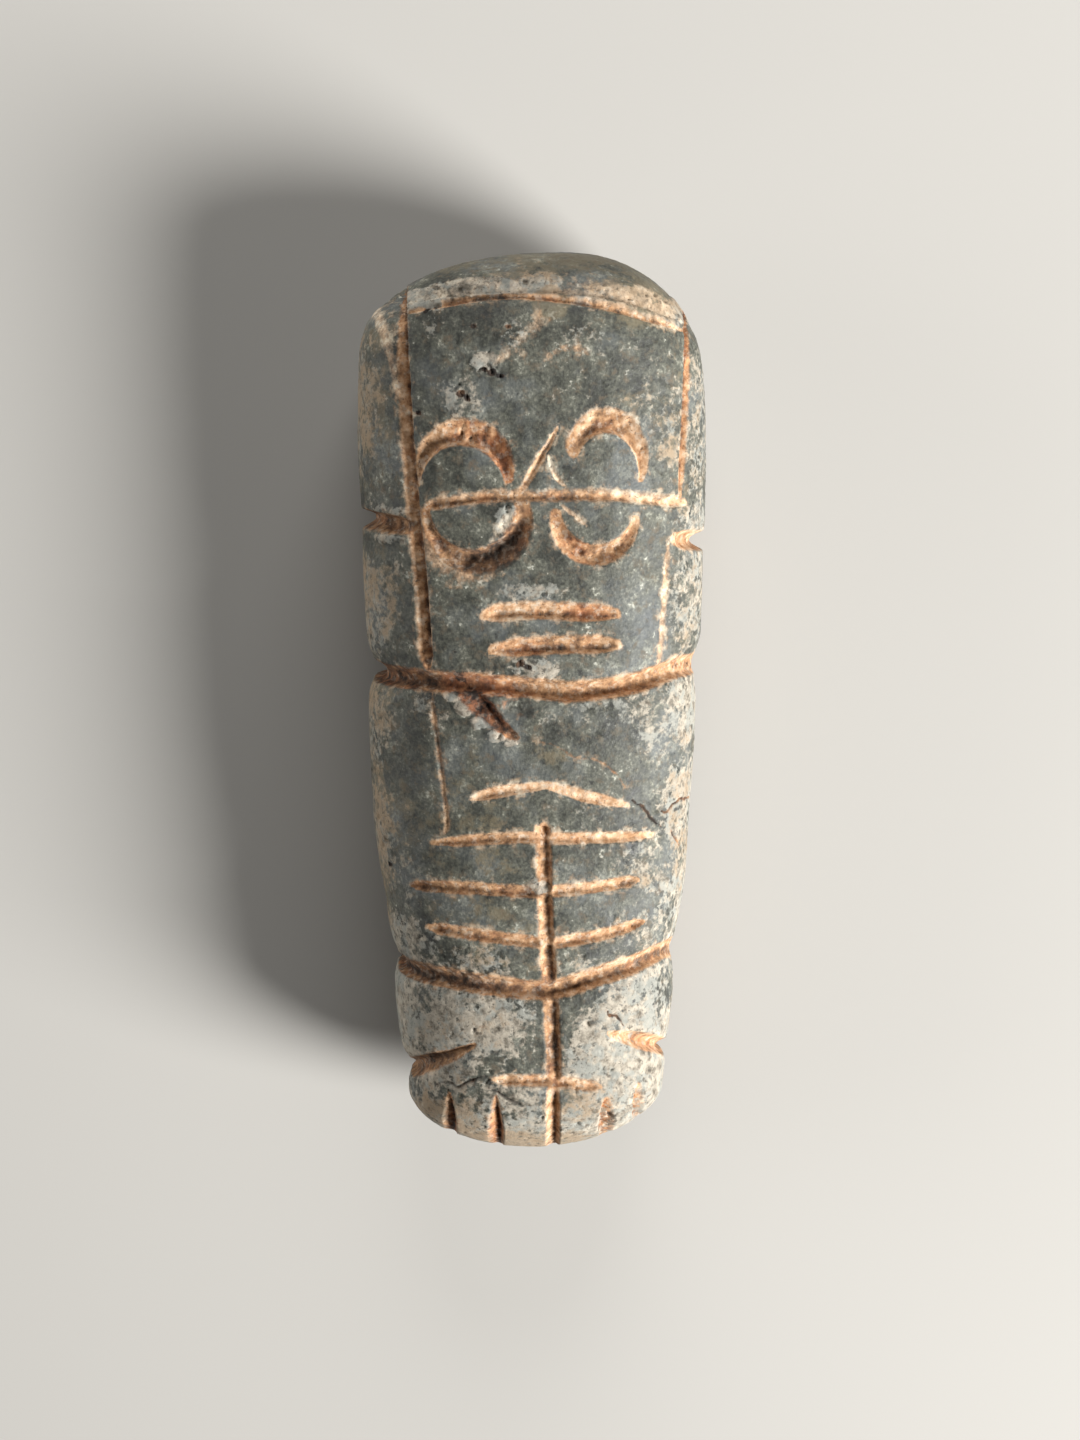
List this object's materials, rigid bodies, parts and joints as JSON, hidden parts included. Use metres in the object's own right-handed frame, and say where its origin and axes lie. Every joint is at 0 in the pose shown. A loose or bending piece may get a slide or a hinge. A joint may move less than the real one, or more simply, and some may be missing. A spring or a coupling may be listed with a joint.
{
  "type": "carved stone zemi figure",
  "caption": "Small carved stone spirit figure with a domed head, ringed eyes, neck and waist grooves, ribs, spine and toes, lying on its flattened back.",
  "frame": {"origin": "below the middle of the figure, in the plane its back rests on", "axes": "+Y from the sole to the crown, +Z out of the carved front, +X to the right of someone facing it"},
  "size_m": [0.0344, 0.09, 0.021],
  "materials": {
    "stone": "fine-grained dark grey-green stone, smooth from handling, with pale crust and ochre earth in the cuts"
  },
  "bodies": {
    "root": {"zemi_figure": "stone"}
  },
  "joints": []
}
